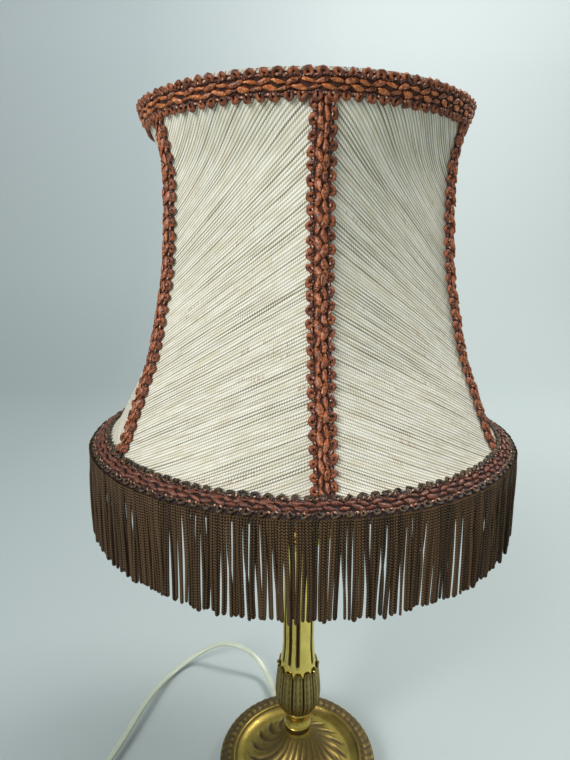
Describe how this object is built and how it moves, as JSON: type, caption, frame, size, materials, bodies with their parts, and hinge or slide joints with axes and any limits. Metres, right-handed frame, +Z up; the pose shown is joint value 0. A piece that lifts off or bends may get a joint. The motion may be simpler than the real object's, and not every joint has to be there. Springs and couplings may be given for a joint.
{
  "type": "candle lamp with shade",
  "caption": "Brass candlestick table lamp with a swirled foot, fluted column, panelled fabric shade with braid and fringe, and a flex with inline switch and plug.",
  "frame": {"origin": "on the table under the middle of the foot", "axes": "+Z up along the column; the rib of the shade that faces the viewer points to -Y"},
  "size_m": [0.296, 0.271, 0.4644],
  "materials": {
    "brass": "polished, aged",
    "cast_brass": "patinated",
    "plated_steel": "bright",
    "iron": "rough",
    "felt": "felt",
    "clear_flex": "clear, glossy",
    "clear_bush": "clear, glossy",
    "holder_brass": "satin",
    "holder_plastic": "matte",
    "cream_plastic": "gloss",
    "opal_glass": "opal",
    "frame_wire": "matte",
    "cream_fabric": "woven",
    "rust_braid": "gimp braid",
    "brown_braid": "braid and fringe"
  },
  "bodies": {
    "stand": {"base_foot": "cast_brass", "base_weight": "iron", "base_felt": "felt", "cord_bush": "clear_bush", "neck_spool": "brass", "leaf_cup": "brass", "fluted_column": "brass", "column_collar": "brass", "drip_pan": "brass", "candle_cup": "brass", "cup_plate": "brass", "spacer_tube": "brass", "tie_rod": "plated_steel", "tie_washer": "plated_steel", "tie_nut": "plated_steel", "inner_flex": "clear_flex", "holder_cap": "holder_brass", "holder_skirt": "holder_plastic", "holder_core": "holder_plastic", "holder_screw_shell": "holder_brass", "holder_contact": "holder_brass", "flex_lamp_side": "clear_flex", "switch_base": "cream_plastic", "switch_cover": "cream_plastic", "switch_screws": "plated_steel", "flex_plug_side": "clear_flex", "flex_coil": "clear_flex", "plug_body": "cream_plastic", "plug_pins": "plated_steel"},
    "rocker": {"switch_rocker": "cream_plastic"},
    "shade": {"fitter_ring": "frame_wire", "fitter_arms": "frame_wire", "top_wire": "frame_wire", "bottom_wire": "frame_wire", "rib_wire_1": "frame_wire", "rib_wire_2": "frame_wire", "rib_wire_3": "frame_wire", "rib_wire_4": "frame_wire", "rib_wire_5": "frame_wire", "rib_wire_6": "frame_wire", "panel_1": "cream_fabric", "panel_2": "cream_fabric", "panel_3": "cream_fabric", "panel_4": "cream_fabric", "panel_5": "cream_fabric", "panel_6": "cream_fabric", "rib_braid_1": "rust_braid", "rib_braid_2": "rust_braid", "rib_braid_3": "rust_braid", "rib_braid_4": "rust_braid", "rib_braid_5": "rust_braid", "rib_braid_6": "rust_braid", "top_braid": "rust_braid", "bottom_braid": "brown_braid", "fringe": "brown_braid"},
    "ring": {"shade_ring": "holder_plastic"},
    "bulb": {"bulb_glass": "opal_glass", "bulb_cap": "holder_brass", "bulb_contact": "holder_brass"}
  },
  "joints": [
    {"name": "shade_turn", "type": "hinge", "parent": "stand", "child": "shade", "pos_m": [0, 0, 0.282], "axis": [0, 0, 1], "continuous": true},
    {"name": "shade_ring_turn", "type": "hinge", "parent": "stand", "child": "ring", "pos_m": [0, 0, 0.2846], "axis": [0, 0, 1], "continuous": true},
    {"name": "bulb_turn", "type": "hinge", "parent": "stand", "child": "bulb", "pos_m": [0, 0, 0.282], "axis": [0, 0, 1], "range_deg": [0, 1080]},
    {"name": "rocker_tilt", "type": "hinge", "parent": "stand", "child": "rocker", "pos_m": [-0.15, -0.054, 0.018], "axis": [-1, 0, 0], "range_deg": [0, 16]}
  ]
}
